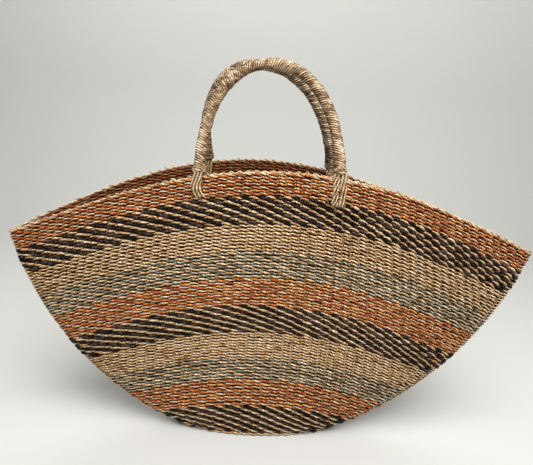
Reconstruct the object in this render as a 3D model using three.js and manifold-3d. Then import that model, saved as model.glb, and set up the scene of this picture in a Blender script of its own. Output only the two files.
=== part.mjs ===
// Beach basket: a soft boat-shaped body twined from sisal, with two wrapped grips tied through its wall.
// Millimetres, +Z up, the origin on the ground under the middle of the rim, X along the basket, front to -Y.
import * as THREE from "three";
import { mergeVertices } from "three/addons/utils/BufferGeometryUtils.js";
import Module from "manifold-3d";

// Driving sizes of the woven body
const LENGTH = 632; // rim, from tip to tip
const RIM_HEIGHT = 343; // top of the rim at the middle of the front and back
const TIP_DROP = 91; // the rim's tips hang this far below its middle
const MOUTH_DEPTH = 120; // front to back across the middle of the rim
const BASE_LENGTH = 168;
const BASE_DEPTH = 50;
const BELLY = 4; // how far each long wall swells out half way up
const WALL = 4.5; // two weft strands and the warp between them
const RIM_LEAN = 12; // the soft body's mouth stands this far to the right of its base
const FRONT_TWIST = 2; // the front rim drops by this on the left and rises by it on the right
const BACK_TWIST = 6; // the back rim rises by this on the left and drops by it on the right
const SIDE_FLARE = 0.6; // how much earlier the ends spread out than straight lines from base to rim
const END_RISE = 1.32; // how late the ends lift off the ground
const SHOULDER_FALL = 0.28; // how much faster than a parabola the rim falls away from its middle
const RIM_BORDER = 4.6; // height of the border that binds the warps' ends
const RIM_SHOULDER = 1.4; // its top is narrower from this far below the rim
const SEAM = 0.4; // clearance between neighbouring pieces

// Heights of the bands of colour in the middle of the wall
const TOP_BAND = 22.4;
const NARROW_BAND = 31.4; // the second, third, fourth and eighth
const MIDDLE_BAND = 34.4; // the fifth, sixth and seventh
const NINTH_BAND = 39.4;

// The bands from the rim down. The last one takes what is left down to the ground.
const BANDS = [
  { name: "weft_band_01_rust", height: TOP_BAND, colour: 0xb5602f },
  { name: "weft_band_02_dark", height: NARROW_BAND, colour: 0x332825 },
  { name: "weft_band_03_natural", height: NARROW_BAND, colour: 0xcdb088 },
  { name: "weft_band_04_sage", height: NARROW_BAND, colour: 0x929a89 },
  { name: "weft_band_05_rust", height: MIDDLE_BAND, colour: 0xb5602f },
  { name: "weft_band_06_dark", height: MIDDLE_BAND, colour: 0x332825 },
  { name: "weft_band_07_natural", height: MIDDLE_BAND, colour: 0xcdb088 },
  { name: "weft_band_08_sage", height: NARROW_BAND, colour: 0x929a89 },
  { name: "weft_band_09_rust", height: NINTH_BAND, colour: 0xb5602f },
  { name: "weft_band_10_dark", colour: 0x332825, steps: 3 },
];

// Main warps: those that start in the base. The ones added between them higher up aren't modelled.
// At the rim they stand half a grip's width apart, so that the grips' cords pass between two of them.
const WARP_PITCH = 73;
const WARP_TIP_MARGIN = 30;
const WARP_WIDTH = 2.2;
const WARP_THICKNESS = 1.8;
const WARP_CLEARANCE = 0.35;
const WARP_BEND_CLEARANCE = 0.9; // where a warp turns from the base mat up into the wall
const START_SHARE = 0.8; // length of the start, the strip where the warps cross, as a share of the base
const START_DEPTH = 8;

// Grips
const GRIP_DIAMETER = 12.4;
const CORE_DIAMETER = 8;
const GRIP_RISE = 123; // centre line of the arch above its feet, along its own plane
const ARCH_POWER = 2.2; // 2 is an ellipse, more is squarer
const GRIP_GAP = 0.6; // between the two grips where they lean on each other
const CORE_CLEARANCE = 0.4;
// span lies between the centres of a grip's two legs. shift moves its feet to the right, skew its crown.
const FRONT_GRIP = { name: "front", side: -1, span: 148, shift: -4.5, skew: -3 };
const BACK_GRIP = { name: "back", side: 1, span: 155, shift: -5, skew: -13.5 };

// Cords that carry the grips
const CORD_DIAMETER = 3.1;
const CORD_PITCH = 3.5;
const CORD_CLEARANCE = 0.45;
const CORD_BEND = 2.2; // radius of the cord's middle line where it turns into the wall
const CORD_TOP_DROP = 5; // below the rim, where a cord leaves the foot's face and follows the wall
// drop is how far below the rim the cords of a foot go through the wall.
const FEET = [
  { grip: FRONT_GRIP, end: -1, name: "front_left", cords: 3, drop: 23 },
  { grip: FRONT_GRIP, end: 1, name: "front_right", cords: 4, drop: 30 },
  { grip: BACK_GRIP, end: -1, name: "back_left", cords: 3, drop: 34 },
  { grip: BACK_GRIP, end: 1, name: "back_right", cords: 3, drop: 34 },
];

const NATURAL = 0xc8ac85;
const STRAW = new THREE.MeshStandardMaterial({ color: NATURAL, roughness: 0.85, metalness: 0 });

const wasm = await Module();
wasm.setup();

function solidOf(geometry) {
  const bare = geometry.index ? geometry.toNonIndexed() : geometry.clone();
  bare.deleteAttribute("normal");
  bare.deleteAttribute("uv");
  const merged = mergeVertices(bare, 1e-4);
  return new wasm.Manifold(
    new wasm.Mesh({
      numProp: 3,
      vertProperties: merged.attributes.position.array,
      triVerts: new Uint32Array(merged.index.array),
    }),
  );
}

function geometryOf(solid) {
  const made = solid.getMesh();
  const geometry = new THREE.BufferGeometry();
  geometry.setAttribute("position", new THREE.Float32BufferAttribute(made.vertProperties, 3));
  geometry.setIndex(new THREE.Uint32BufferAttribute(made.triVerts, 1));
  return geometry;
}

function meshOf(name, geometry, material) {
  const flat = geometry.index ? geometry.toNonIndexed() : geometry;
  flat.computeVertexNormals();
  const mesh = new THREE.Mesh(flat, material);
  mesh.name = name;
  return mesh;
}

// The body's outer face. level runs from 0 on the ground to 1 at the rim, along from -1 at the left tip to 1
// at the right tip, and side is -1 on the front wall and 1 on the back wall. Plan curves are an ellipse at
// the base that sharpens to a lens at the rim, and every course sags from the middle to its two ends.
const TWIST_PEAK = 2 / Math.sqrt(27); // the most that along * inward reaches

function wallPoint(level, along, side) {
  const spread = level * (1 + SIDE_FLARE * (1 - level));
  const halfLength = BASE_LENGTH / 2 + ((LENGTH - BASE_LENGTH) / 2) * spread;
  const halfDepth =
    (BASE_DEPTH / 2) * (1 - level) + (MOUTH_DEPTH / 2) * level + 4 * BELLY * level * (1 - level);
  const inward = Math.max(1 - along * along, 0);
  const middle = RIM_HEIGHT * level;
  const end = (RIM_HEIGHT - TIP_DROP) * level ** END_RISE;
  const shoulder = 1 - SHOULDER_FALL * level * (1 - inward);
  const twist = ((side > 0 ? -BACK_TWIST : FRONT_TWIST) * level * level * along * inward) / TWIST_PEAK;
  return new THREE.Vector3(
    RIM_LEAN * (level - 1) + halfLength * along,
    side * halfDepth * inward ** (0.5 + 0.5 * level),
    end + (middle - end) * inward * shoulder + twist,
  );
}

function wallNormal(level, along, side) {
  const step = 1e-3;
  const low = Math.max(level - step, 0);
  const left = Math.max(along - step, -1);
  const right = Math.min(along + step, 1);
  const up = wallPoint(level + step, along, side).sub(wallPoint(low, along, side));
  const sideways = wallPoint(level, right, side).sub(wallPoint(level, left, side));
  return sideways.cross(up).multiplyScalar(-side).normalize();
}

// A point of the wall at a depth under its outer face.
function inWall(level, along, side, depth) {
  return wallPoint(level, along, side).addScaledVector(wallNormal(level, along, side), -depth);
}

// Where the front and back walls' inner faces meet near a tip, at a depth under the outer face.
const TIP_FROM = 0.8;
const TIP_STEP = 0.004;
const TIP_OPENING = 0.05;

function tipReach(level, depth) {
  const isOpen = (along) => along < 1 && inWall(level, along, -1, depth).y < -TIP_OPENING;
  let along = TIP_FROM;
  while (isOpen(along + TIP_STEP)) along += TIP_STEP;
  return along + TIP_STEP < 1 ? along : 1;
}

function tipPoint(level, end, depth) {
  const along = end * tipReach(level, depth);
  const point = depth > 0 ? inWall(level, along, -1, depth) : wallPoint(level, end, -1);
  point.y = 0;
  return point;
}

const warpPitch = (2 * WARP_PITCH) / LENGTH;
const warpsPerSide = 2 * Math.floor((1 - (2 * WARP_TIP_MARGIN) / LENGTH) / warpPitch + 1 / 2);

function warpPlace(index) {
  return (index + 1 / 2 - warpsPerSide / 2) * warpPitch;
}

// Half of a width in millimetres as a share of the way along the wall.
function asShare(width, level) {
  return width / (wallPoint(level, 1, -1).x - wallPoint(level, -1, -1).x);
}

// The section of a band at one level: the outer and the inner face as closed lines that run round from the
// left tip, each point with an order that says which points of the two lines face each other.
const TIP_COLUMN = 0.97; // last column of the walls before a tip
const TIP_COLUMN_GAP = 0.01; // between that column on the inner face and the tip
const SHOULDER = 2.5; // the outer face has columns this many grooves' widths beside a warp

function bandSection(level, grooves, trim) {
  const outer = [];
  const inner = [];
  const groove = asShare(WARP_WIDTH + 2 * WARP_CLEARANCE, level);
  const shoulder = SHOULDER * groove;
  const floor = WALL - WARP_THICKNESS - WARP_CLEARANCE;
  const inside = WALL - trim;
  const reach = Math.min(TIP_COLUMN, tipReach(level, inside) - TIP_COLUMN_GAP);
  const column = (line, order, along, side, depth) =>
    line.push({ order, point: inWall(level, along, side, depth) });
  [-1, 1].forEach((side, half) => {
    const from = half * (warpsPerSide + 3);
    const onward = -side;
    outer.push({ order: from, point: tipPoint(level, -onward, trim) });
    inner.push({ order: from, point: tipPoint(level, -onward, inside) });
    column(outer, from + 1, -onward * TIP_COLUMN, side, trim);
    column(inner, from + 1, -onward * reach, side, inside);
    for (let i = 0; i < warpsPerSide; i++) {
      const place = onward * warpPlace(i);
      const order = from + 2 + i;
      column(outer, order + 0.1, place - onward * shoulder, side, trim);
      column(outer, order + 0.5, place + onward * shoulder, side, trim);
      if (grooves) {
        column(inner, order + 0.2, place - onward * groove, side, inside);
        column(inner, order + 0.3, place - onward * groove, side, floor);
        column(inner, order + 0.4, place + onward * groove, side, floor);
        column(inner, order + 0.6, place + onward * groove, side, inside);
      } else {
        column(inner, order + 0.3, place, side, inside);
      }
      if (i + 1 < warpsPerSide) {
        column(outer, order + 0.8, place + (onward * warpPitch) / 2, side, trim);
        column(inner, order + 0.8, place + (onward * warpPitch) / 2, side, inside);
      }
    }
    column(outer, from + warpsPerSide + 2, onward * TIP_COLUMN, side, trim);
    column(inner, from + warpsPerSide + 2, onward * reach, side, inside);
  });
  return { outer, inner };
}

class Skin {
  constructor() {
    this.corners = [];
  }

  triangle(a, b, c) {
    for (const p of [a, b, c]) this.corners.push(p.x, p.y, p.z);
  }

  quad(a, b, c, d) {
    this.triangle(a, b, c);
    this.triangle(a, c, d);
  }

  // Joins two closed lines with as many points each; lower and upper run the same way round.
  belt(lower, upper) {
    lower.forEach((point, i) => {
      const next = (i + 1) % lower.length;
      this.quad(point, lower[next], upper[next], upper[i]);
    });
  }

  // Fills the face between two closed lines whose points carry an order.
  face(outer, inner, facesUp) {
    const lap = 1e3;
    const at = (line, i) => line[i % line.length];
    const orderOf = (line, i) => at(line, i).order + (i >= line.length ? lap : 0);
    let o = 0;
    let n = 0;
    while (o < outer.length || n < inner.length) {
      const goOuter =
        n >= inner.length || (o < outer.length && orderOf(outer, o + 1) <= orderOf(inner, n + 1));
      const a = at(outer, o).point;
      const b = at(inner, n).point;
      const c = goOuter ? at(outer, o + 1).point : at(inner, n + 1).point;
      if (facesUp) this.triangle(a, c, b);
      else this.triangle(a, b, c);
      if (goOuter) o += 1;
      else n += 1;
    }
  }

  geometry() {
    const made = new THREE.BufferGeometry();
    made.setAttribute("position", new THREE.Float32BufferAttribute(this.corners, 3));
    return made;
  }
}

// A closed ring of wall between levels. The faces' lines run from the left tip along the front, so they go
// anticlockwise seen from above.
function ringOfWall(levels, grooves, trims = []) {
  const skin = new Skin();
  const sections = levels.map((level, i) => bandSection(level, grooves, trims[i] ?? 0));
  const points = (line) => line.map((entry) => entry.point);
  for (let i = 0; i + 1 < sections.length; i++) {
    skin.belt(points(sections[i].outer), points(sections[i + 1].outer));
    skin.belt(points(sections[i + 1].inner), points(sections[i].inner));
  }
  const top = sections[sections.length - 1];
  skin.face(top.outer, top.inner, true);
  skin.face(sections[0].outer, sections[0].inner, false);
  return skin.geometry();
}

// Levels of the bands' edges, from the border down to the ground
const bandEdges = [1 - RIM_BORDER / RIM_HEIGHT];
for (const band of BANDS)
  bandEdges.push(band.height ? bandEdges[bandEdges.length - 1] - band.height / RIM_HEIGHT : 0);

function bandLevels(index) {
  const half = SEAM / 2 / RIM_HEIGHT;
  const top = bandEdges[index] - half;
  const bottom = bandEdges[index + 1] + (bandEdges[index + 1] > 0 ? half : 0);
  const steps = BANDS[index].steps ?? 1;
  const levels = [];
  for (let i = 0; i <= steps; i++) levels.push(bottom + ((top - bottom) * i) / steps);
  return levels;
}

// Base mat: a flat oval inside the lowest course, with a pocket in its upper face for the start of the weave
// and grooves for the warps.
const BASE_PLAN = new THREE.Vector2(BASE_LENGTH / 2 - WALL, BASE_DEPTH / 2 - WALL - SEAM);
const START_PLAN = new THREE.Vector2(START_SHARE * BASE_PLAN.x, START_DEPTH / 2);
const OVAL_SIDES = 32;

function ovalPlate(plan, grow, bottom, top) {
  const shape = new THREE.Shape();
  shape.absellipse(0, 0, plan.x + grow, plan.y + grow, 0, 2 * Math.PI, false, 0);
  const outline = new THREE.Shape(shape.getPoints(OVAL_SIDES).slice(0, -1));
  const plate = new THREE.ExtrudeGeometry(outline, { depth: top - bottom, bevelEnabled: false });
  plate.translate(-RIM_LEAN, 0, bottom);
  return plate;
}

// A four-sided bar through stations of four corners each.
function barThrough(stations) {
  const skin = new Skin();
  for (let i = 0; i + 1 < stations.length; i++) skin.belt(stations[i], stations[i + 1]);
  skin.quad(stations[0][3], stations[0][2], stations[0][1], stations[0][0]);
  skin.quad(...stations[stations.length - 1]);
  return skin.geometry();
}

// Four corners of a warp where it lies in the base, at the start's middle line or at the mat's edge. The
// warp's groove is wider by some clearance and open above.
function baseStations(place, side, extra, lift) {
  const start = new THREE.Vector3(place * START_PLAN.x - RIM_LEAN, 0, 0);
  const edge = inWall(0, place, side, WALL + SEAM).setZ(0);
  const across = new THREE.Vector3(start.y - edge.y, edge.x - start.x, 0).setLength(WARP_WIDTH / 2 + extra);
  const low = WALL - WARP_THICKNESS - extra;
  const high = WALL + lift;
  return [start, edge].map((at) => {
    const corner = (sideways, z) => at.clone().addScaledVector(across, sideways).setZ(z);
    return [corner(-1, low), corner(1, low), corner(1, high), corner(-1, high)];
  });
}

function wallStation(level, place, side, extra, lift) {
  const half = asShare(WARP_WIDTH + 2 * extra, level) * -side;
  const under = WALL - WARP_THICKNESS - extra;
  const over = WALL + lift;
  return [
    inWall(level, place - half, side, under),
    inWall(level, place + half, side, under),
    inWall(level, place + half, side, over),
    inWall(level, place - half, side, over),
  ];
}

const FIRST_WALL_LEVEL = 0.02; // where a warp that left the base mat is in the wall

function warpBar(place, side, levels, extra, lift) {
  return barThrough([
    ...baseStations(place, side, extra, lift),
    ...levels.map((level) => wallStation(level, place, side, extra, lift)),
  ]);
}

function everyWarp(make) {
  return [-1, 1].flatMap((side) =>
    Array.from({ length: warpsPerSide }, (_, i) => solidOf(make(warpPlace(i), side))),
  );
}

function warpLevels() {
  const levels = [FIRST_WALL_LEVEL];
  for (let i = BANDS.length - 1; i >= 0; i--) {
    const made = bandLevels(i);
    levels.push(...made.slice(1, -1), i > 0 ? bandEdges[i] : made[made.length - 1]);
  }
  return levels;
}

const footGrooves = everyWarp((place, side) =>
  warpBar(place, side, warpLevels().slice(0, 2), WARP_BEND_CLEARANCE, 1),
);

function cutBy(solid, tools) {
  return tools.reduce((left, tool) => left.subtract(tool), solid);
}

function warpSpokes() {
  const start = solidOf(ovalPlate(START_PLAN, 0, WALL - WARP_THICKNESS, WALL));
  const bars = everyWarp((place, side) => warpBar(place, side, warpLevels(), 0, 0));
  return geometryOf(bars.reduce((joined, bar) => joined.add(bar), start));
}

function baseMat() {
  const pocketFloor = WALL - WARP_THICKNESS - WARP_BEND_CLEARANCE;
  const pocket = solidOf(ovalPlate(START_PLAN, WARP_BEND_CLEARANCE, pocketFloor, WALL + 1));
  return geometryOf(cutBy(solidOf(ovalPlate(BASE_PLAN, 0, 0, WALL)), [pocket, ...footGrooves]));
}

// Rim border: a ring on the last course, narrower at its top
function rimBorder() {
  const bottom = bandEdges[0] + SEAM / 2 / RIM_HEIGHT;
  const shoulder = 1 - RIM_SHOULDER / RIM_HEIGHT;
  return ringOfWall([bottom, shoulder, 1], false, [0, 0, WALL / 4]);
}

// Where a grip's leg stands on the rim
function footOf(grip, end) {
  const along = ((end * grip.span) / 2 + grip.shift) / (LENGTH / 2);
  return inWall(1, along, grip.side, WALL / 2);
}

// Each grip leans in over the mouth, as far as it can before it meets the other one.
const touch = (GRIP_DIAMETER + GRIP_GAP) / 2;
const middleFoot = (grip) => footOf(grip, -1).add(footOf(grip, 1)).divideScalar(2);
const leanOf = (grip) => Math.asin((Math.abs(middleFoot(grip).y) - touch) / GRIP_RISE);
const footRise = (grip) => (GRIP_DIAMETER / 2) * Math.sin(leanOf(grip)) + SEAM;

// A grip's middle line: a squared arch on the line between its two feet.
class ArchCurve extends THREE.Curve {
  constructor(grip) {
    super();
    this.grip = grip;
    this.left = footOf(grip, -1).setZ(footOf(grip, -1).z + footRise(grip));
    this.right = footOf(grip, 1).setZ(footOf(grip, 1).z + footRise(grip));
    this.up = new THREE.Vector3(0, -grip.side * Math.sin(leanOf(grip)), Math.cos(leanOf(grip)));
  }

  getPoint(t, target = new THREE.Vector3()) {
    const angle = Math.PI * (1 - t);
    const cosine = Math.cos(angle);
    const reach = Math.sign(cosine) * Math.abs(cosine) ** (2 / ARCH_POWER);
    const rise = Math.max(Math.sin(angle), 0) ** (2 / ARCH_POWER);
    target.lerpVectors(this.left, this.right, (1 + reach) / 2);
    target.addScaledVector(this.up, GRIP_RISE * rise);
    target.x += this.grip.skew * rise;
    return target;
  }
}

function roundShape(diameter, sides) {
  const points = [];
  for (let i = 0; i < sides; i++) {
    const angle = (2 * Math.PI * i) / sides;
    points.push(new THREE.Vector2(Math.cos(angle), Math.sin(angle)).multiplyScalar(diameter / 2));
  }
  return points;
}

const GRIP_STEPS = 20;

function gripCore(grip) {
  return new THREE.ExtrudeGeometry(new THREE.Shape(roundShape(CORE_DIAMETER, 8)), {
    extrudePath: new ArchCurve(grip),
    steps: GRIP_STEPS,
  });
}

function gripWrap(grip) {
  const shape = new THREE.Shape(roundShape(GRIP_DIAMETER, 12));
  shape.holes.push(new THREE.Path(roundShape(CORE_DIAMETER + 2 * CORE_CLEARANCE, 8)));
  return new THREE.ExtrudeGeometry(shape, { extrudePath: new ArchCurve(grip), steps: GRIP_STEPS });
}

// Carrying cords: down the wall's outside, through it and up its inside, both ends under the grip's foot
const cordOffset = CORD_DIAMETER / 2 + CORD_CLEARANCE;

// A curve that is sampled at the points it is given, so that a tube keeps its short bends.
class Route extends THREE.CatmullRomCurve3 {
  constructor(points) {
    super(points, false, "centripetal");
  }

  getSpacedPoints(divisions) {
    return this.getPoints(divisions);
  }

  getTangentAt(share, target) {
    return this.getTangent(share, target);
  }
}

class Cord {
  constructor(foot, index) {
    this.side = foot.grip.side;
    this.slope = Math.tan(leanOf(foot.grip));
    this.tilt = foot.grip.skew / (GRIP_RISE * Math.cos(leanOf(foot.grip)));
    this.foot = footOf(foot.grip, foot.end);
    this.faceHeight = this.foot.z + footRise(foot.grip);
    this.slotLevel = 1 - foot.drop / RIM_HEIGHT;
    const sideways = (index - (foot.cords - 1) / 2) * CORD_PITCH;
    this.fromMiddle = (foot.end * foot.grip.span) / 2 + foot.grip.shift + sideways;
  }

  // A point at a level, at a depth under the wall's outer face, straight below the cord's top
  at(level, depth) {
    const halfLength = wallPoint(level, 1, this.side).x - wallPoint(level, 0, this.side).x;
    const behind = RIM_LEAN * (1 - level);
    return inWall(level, (this.fromMiddle + behind) / halfLength, this.side, depth);
  }

  // The end under the grip's foot, whose face leans with the grip, in by slope and sideways by tilt
  top(depth) {
    const rim = this.at(1, depth);
    const lift = (rim.y - this.foot.y) * this.side * this.slope - (rim.x - this.foot.x) * this.tilt;
    const gap = CORD_CLEARANCE + (CORD_DIAMETER / 2) * Math.hypot(this.slope, this.tilt);
    return rim.setZ(this.faceHeight + lift - gap);
  }

  leg(depth, towards) {
    const turn = CORD_BEND / RIM_HEIGHT;
    const diagonal = CORD_BEND * (1 - Math.SQRT1_2);
    return [
      this.top(depth),
      this.at(1 - CORD_TOP_DROP / RIM_HEIGHT, depth),
      this.at((1 + this.slotLevel) / 2, depth),
      this.at(this.slotLevel + turn, depth),
      this.at(this.slotLevel + diagonal / RIM_HEIGHT, depth + towards * diagonal),
      this.at(this.slotLevel, depth + towards * CORD_BEND),
    ];
  }

  tube() {
    const points = [...this.leg(-cordOffset, 1), ...this.leg(WALL + cordOffset, -1).reverse()];
    return new THREE.ExtrudeGeometry(new THREE.Shape(roundShape(CORD_DIAMETER, 8)), {
      extrudePath: new Route(points),
      steps: points.length - 1,
    });
  }

  hole() {
    const path = new THREE.LineCurve3(
      this.at(this.slotLevel, -cordOffset),
      this.at(this.slotLevel, WALL + cordOffset),
    );
    const shape = new THREE.Shape(roundShape(CORD_DIAMETER + 2 * CORD_CLEARANCE, 8));
    return solidOf(new THREE.ExtrudeGeometry(shape, { extrudePath: path, steps: 1 }));
  }
}

const cords = FEET.flatMap((foot) =>
  Array.from({ length: foot.cords }, (_, i) => ({
    name: foot.name + "_cord_" + (i + 1),
    cord: new Cord(foot, i),
  })),
);

function weftBand(index) {
  const levels = bandLevels(index);
  const geometry = ringOfWall(levels, true);
  const bottom = index === BANDS.length - 1;
  const reach = CORD_DIAMETER / RIM_HEIGHT;
  const crosses = ({ cord }) =>
    levels[0] < cord.slotLevel + reach && levels[levels.length - 1] > cord.slotLevel - reach;
  const holes = cords.filter(crosses).map(({ cord }) => cord.hole());
  const tools = [...(bottom ? footGrooves : []), ...holes];
  return tools.length > 0 ? geometryOf(cutBy(solidOf(geometry), tools)) : geometry;
}

const basket = new THREE.Group();
const straw = (name, geometry) => basket.add(meshOf(name, geometry, STRAW));

straw("base_mat", baseMat());
straw("warp_spokes", warpSpokes());
BANDS.forEach((band, index) => {
  const finish = { color: band.colour, roughness: 0.85, metalness: 0 };
  basket.add(meshOf(band.name, weftBand(index), new THREE.MeshStandardMaterial(finish)));
});
straw("rim_border", rimBorder());
for (const grip of [FRONT_GRIP, BACK_GRIP]) {
  straw(grip.name + "_grip_core", gripCore(grip));
  straw(grip.name + "_grip_wrap", gripWrap(grip));
}
for (const { name, cord } of cords) straw(name, cord.tube());

export default basket;
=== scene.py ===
"""Beach basket twined from sisal in stripes, with two wrapped grips tied through its wall.

Metres, +Z up, the origin on the ground under the middle of the rim, X along the basket, front to -Y.
"""
import math

import bpy
import numpy as np
from mathutils import Euler, Matrix, Vector


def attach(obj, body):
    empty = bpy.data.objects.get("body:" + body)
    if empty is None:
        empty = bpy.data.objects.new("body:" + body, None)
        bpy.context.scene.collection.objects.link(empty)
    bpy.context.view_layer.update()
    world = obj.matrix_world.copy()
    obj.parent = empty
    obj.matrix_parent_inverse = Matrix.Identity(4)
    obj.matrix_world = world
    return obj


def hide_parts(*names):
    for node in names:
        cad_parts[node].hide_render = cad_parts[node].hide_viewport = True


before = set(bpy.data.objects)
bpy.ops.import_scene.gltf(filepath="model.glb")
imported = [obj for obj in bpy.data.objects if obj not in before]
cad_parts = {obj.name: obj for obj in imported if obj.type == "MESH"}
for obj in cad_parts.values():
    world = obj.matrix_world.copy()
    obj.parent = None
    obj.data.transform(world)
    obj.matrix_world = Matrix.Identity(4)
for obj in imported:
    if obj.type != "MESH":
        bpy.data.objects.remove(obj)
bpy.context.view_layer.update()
MM = 0.001
rng = np.random.default_rng(11)

# The woven body, with the sizes that the part's source has
LENGTH = 632 * MM  # rim, from tip to tip
RIM_HEIGHT = 343 * MM  # at the middle of the front and back
TIP_DROP = 91 * MM  # the rim's tips hang this far below its middle
MOUTH_DEPTH = 120 * MM  # front to back across the middle of the rim
BASE_LENGTH = 168 * MM
BASE_DEPTH = 50 * MM
BELLY = 4 * MM  # how far each long wall swells out half way up
WALL = 4.5 * MM  # two weft strands and the warp between them
RIM_LEAN = 12 * MM  # the soft body's mouth stands this far to the right of its base
FRONT_TWIST = 2 * MM  # the front rim drops by this on the left and rises by it on the right
BACK_TWIST = 6 * MM  # the back rim rises by this on the left and drops by it on the right
TWIST_PEAK = 2 / math.sqrt(27)  # the most that x - x**3 reaches between 0 and 1
SIDE_FLARE = 0.6  # how much earlier the ends spread out than straight lines from base to rim
END_RISE = 1.32  # how late the ends lift off the ground
SHOULDER_FALL = 0.28  # how much faster than a parabola the rim falls away from its middle

# Heights of the bands of colour in the middle of the wall
TOP_BAND = 24.6 * MM
NARROW_BAND = 31.4 * MM
MIDDLE_BAND = 34.4 * MM
NINTH_BAND = 39.4 * MM

# Bands from the rim down: node, dye, height and rows of weft. The last one takes what is left.
BANDS = [
    ("weft_band_01_rust", "rust", TOP_BAND, 7),
    ("weft_band_02_dark", "dark", NARROW_BAND, 8),
    ("weft_band_03_natural", "natural", NARROW_BAND, 8),
    ("weft_band_04_sage", "sage", NARROW_BAND, 8),
    ("weft_band_05_rust", "rust", MIDDLE_BAND, 9),
    ("weft_band_06_dark", "dark", MIDDLE_BAND, 9),
    ("weft_band_07_natural", "natural", MIDDLE_BAND, 9),
    ("weft_band_08_sage", "sage", NARROW_BAND, 7),
    ("weft_band_09_rust", "rust", NINTH_BAND, 8),
    ("weft_band_10_dark", "dark", None, 10),
]

# Warps: how far apart they stand at these levels of the wall
WARP_SPACING_LEVELS = (0, 0.15, 0.5, 0.85, 1)
WARP_SPACING = (10.4 * MM, 10.7 * MM, 10.6 * MM, 9.2 * MM, 8.8 * MM)
WARP_FAN = 0.55  # how much wider apart they are at the tips than in the middle, as a share
TIP_STRETCH = 45 * MM  # this near a tip they shift a little, so that a whole number of them fits
RIB_THICKNESS = 0.5 * MM
RIB_COLUMNS = 1150  # steps round the wall in the sheet that shows the warps

# Twining: two strands that cross between every two warps
STITCH_OUT = 1.2 * MM  # a strand's swing out of the middle of the wall, and into it
STRAND_ROUNDNESS = 0.84  # thickness of a strand as a share of its height
THICKEST_STRAND = 3.4 * MM
CROSSING_HEIGHT = 0.5  # height of a strand where it crosses the other one, as a share of a stitch's
STITCH_ARCH = 0.18  # how far a stitch bulges upward in its middle, as a share of its row
FULL_ROW = 3.9 * MM  # in a taller row the same twine leaves a gap
GAP_FILLING = 0.2  # share of the extra height that the twine still fills there
STEPS_PER_WARP = 6
STRAND_SIDES = 6
LOWEST_TWINE = 0.1 * MM  # the twine is pressed flat where the basket rests on the ground

# A row's stitches for each dye. dyed and plain are the heights of the two strands' stitches, slant is
# their swing down and up, all as shares of the row. forward is how far the dyed strand lies in front of
# the middle of the wall and the plain one, which is pulled tighter, behind it.
STITCHES = {
    "rust": {"dyed": 1.02, "plain": 0.8, "slant": 0.2, "forward": 0.12 * MM},
    "dark": {"dyed": 1.14, "plain": 0.96, "slant": 0.28, "forward": 0.22 * MM},
    "natural": {"dyed": 0.84, "plain": 0.84, "slant": 0.22, "forward": 0},
    "sage": {"dyed": 0.88, "plain": 0.84, "slant": 0.2, "forward": 0},
}

# Unevenness of work by hand, as standard deviations, drawn anew at each warp
LOOSE_STITCH = 0.2 * MM  # in and out
CROOKED_STITCH = 0.24 * MM  # up and down
PLUMP_STITCH = 0.12  # in height, as a share of it
ROW_DRIFT = 0.18 * MM  # up and down, drawn anew only every DRIFT_WARPS
DRIFT_WARPS = 5

# Rim binding
RIM_BINDING = 2.4 * MM  # height of the twine over the edge; the first row of weft starts under it
RIM_TURN_RISE = 0.8 * MM
RIM_TURN_OUT = 1.5 * MM
RIM_TURN_DROP = 0.4 * MM
RIM_TWINE_WIDTH = 2.1 * MM
RIM_TWINE_THICKNESS = 1.7 * MM
RIM_UNEVENNESS = 0.4 * MM
RIM_CORE_WIDTH = 2.8 * MM
RIM_CORE_THICKNESS = 1.8 * MM
RIM_CORE_DROP = 0.9 * MM
RIM_STEPS_PER_WARP = 10

# Base mat: ovals of twining. FIRST_OVAL has half the length and depth of the innermost one, LAST_OVAL those
# of the outermost one, which runs just inside the wall.
BASE_ROWS = 5
FIRST_OVAL = np.array([62 * MM, 3.2 * MM])
LAST_OVAL = np.array([BASE_LENGTH / 2 - 5.5 * MM, BASE_DEPTH / 2 - 5.2 * MM])
OVAL_STEPS = 1200
BASE_WARP_SPACING = 9.5 * MM
BASE_ROW_HEIGHT = 4.0 * MM  # middle of the mat above the ground
BASE_SWING = 0.9 * MM
BASE_STRAND_NARROW = 2.0 * MM
BASE_STRAND_SWELL = 1.9 * MM
BASE_STRAND_THICKNESS = 1.9 * MM

# Grips, with the sizes that the part's source has
GRIP_DIAMETER = 12.4 * MM
GRIP_RISE = 123 * MM  # centre line of the arch above its feet, along its own plane
ARCH_POWER = 2.2  # 2 is an ellipse, more is squarer
ARCH_POINTS = 3000  # before they are spaced evenly
GRIP_GAP = 0.6 * MM  # between the two grips where they lean on each other
SEAM = 0.4 * MM  # between a grip's foot and the rim
# span lies between the centres of a grip's two legs. shift moves its feet to the right, skew its crown.
GRIPS = {
    "front": {"side": -1, "span": 148 * MM, "shift": -4.5 * MM, "skew": -3 * MM},
    "back": {"side": 1, "span": 155 * MM, "shift": -5 * MM, "skew": -13.5 * MM},
}

# The grips' wrapping
TURN_PITCH = 2.7 * MM  # from one turn of the wrapping twine to the next
TURN_STARTS = 6  # twines wound side by side, which slants the turns
STEPS_PER_TURN = 8
GRIP_SIDES = 30
TURN_DEPTH = 1.0 * MM  # the grooves between the turns lie this far under the grip's surface
TURN_BULGE = 0.8 * MM
CROSSING_BULGE = 0.9 * MM  # the layer below is wound the other way and presses through
CROSSING_MIDDLE = 0.6  # about the mean of its bulge, as a share
UNEVEN_TURN = 0.2 * MM
GRIP_LUMP = 0.22 * MM
GRIP_LUMPS = 24
FOOT_SWELL = 0.7 * MM  # a grip is thicker at its feet, over FOOT_LENGTH
FOOT_LENGTH = 34 * MM

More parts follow.
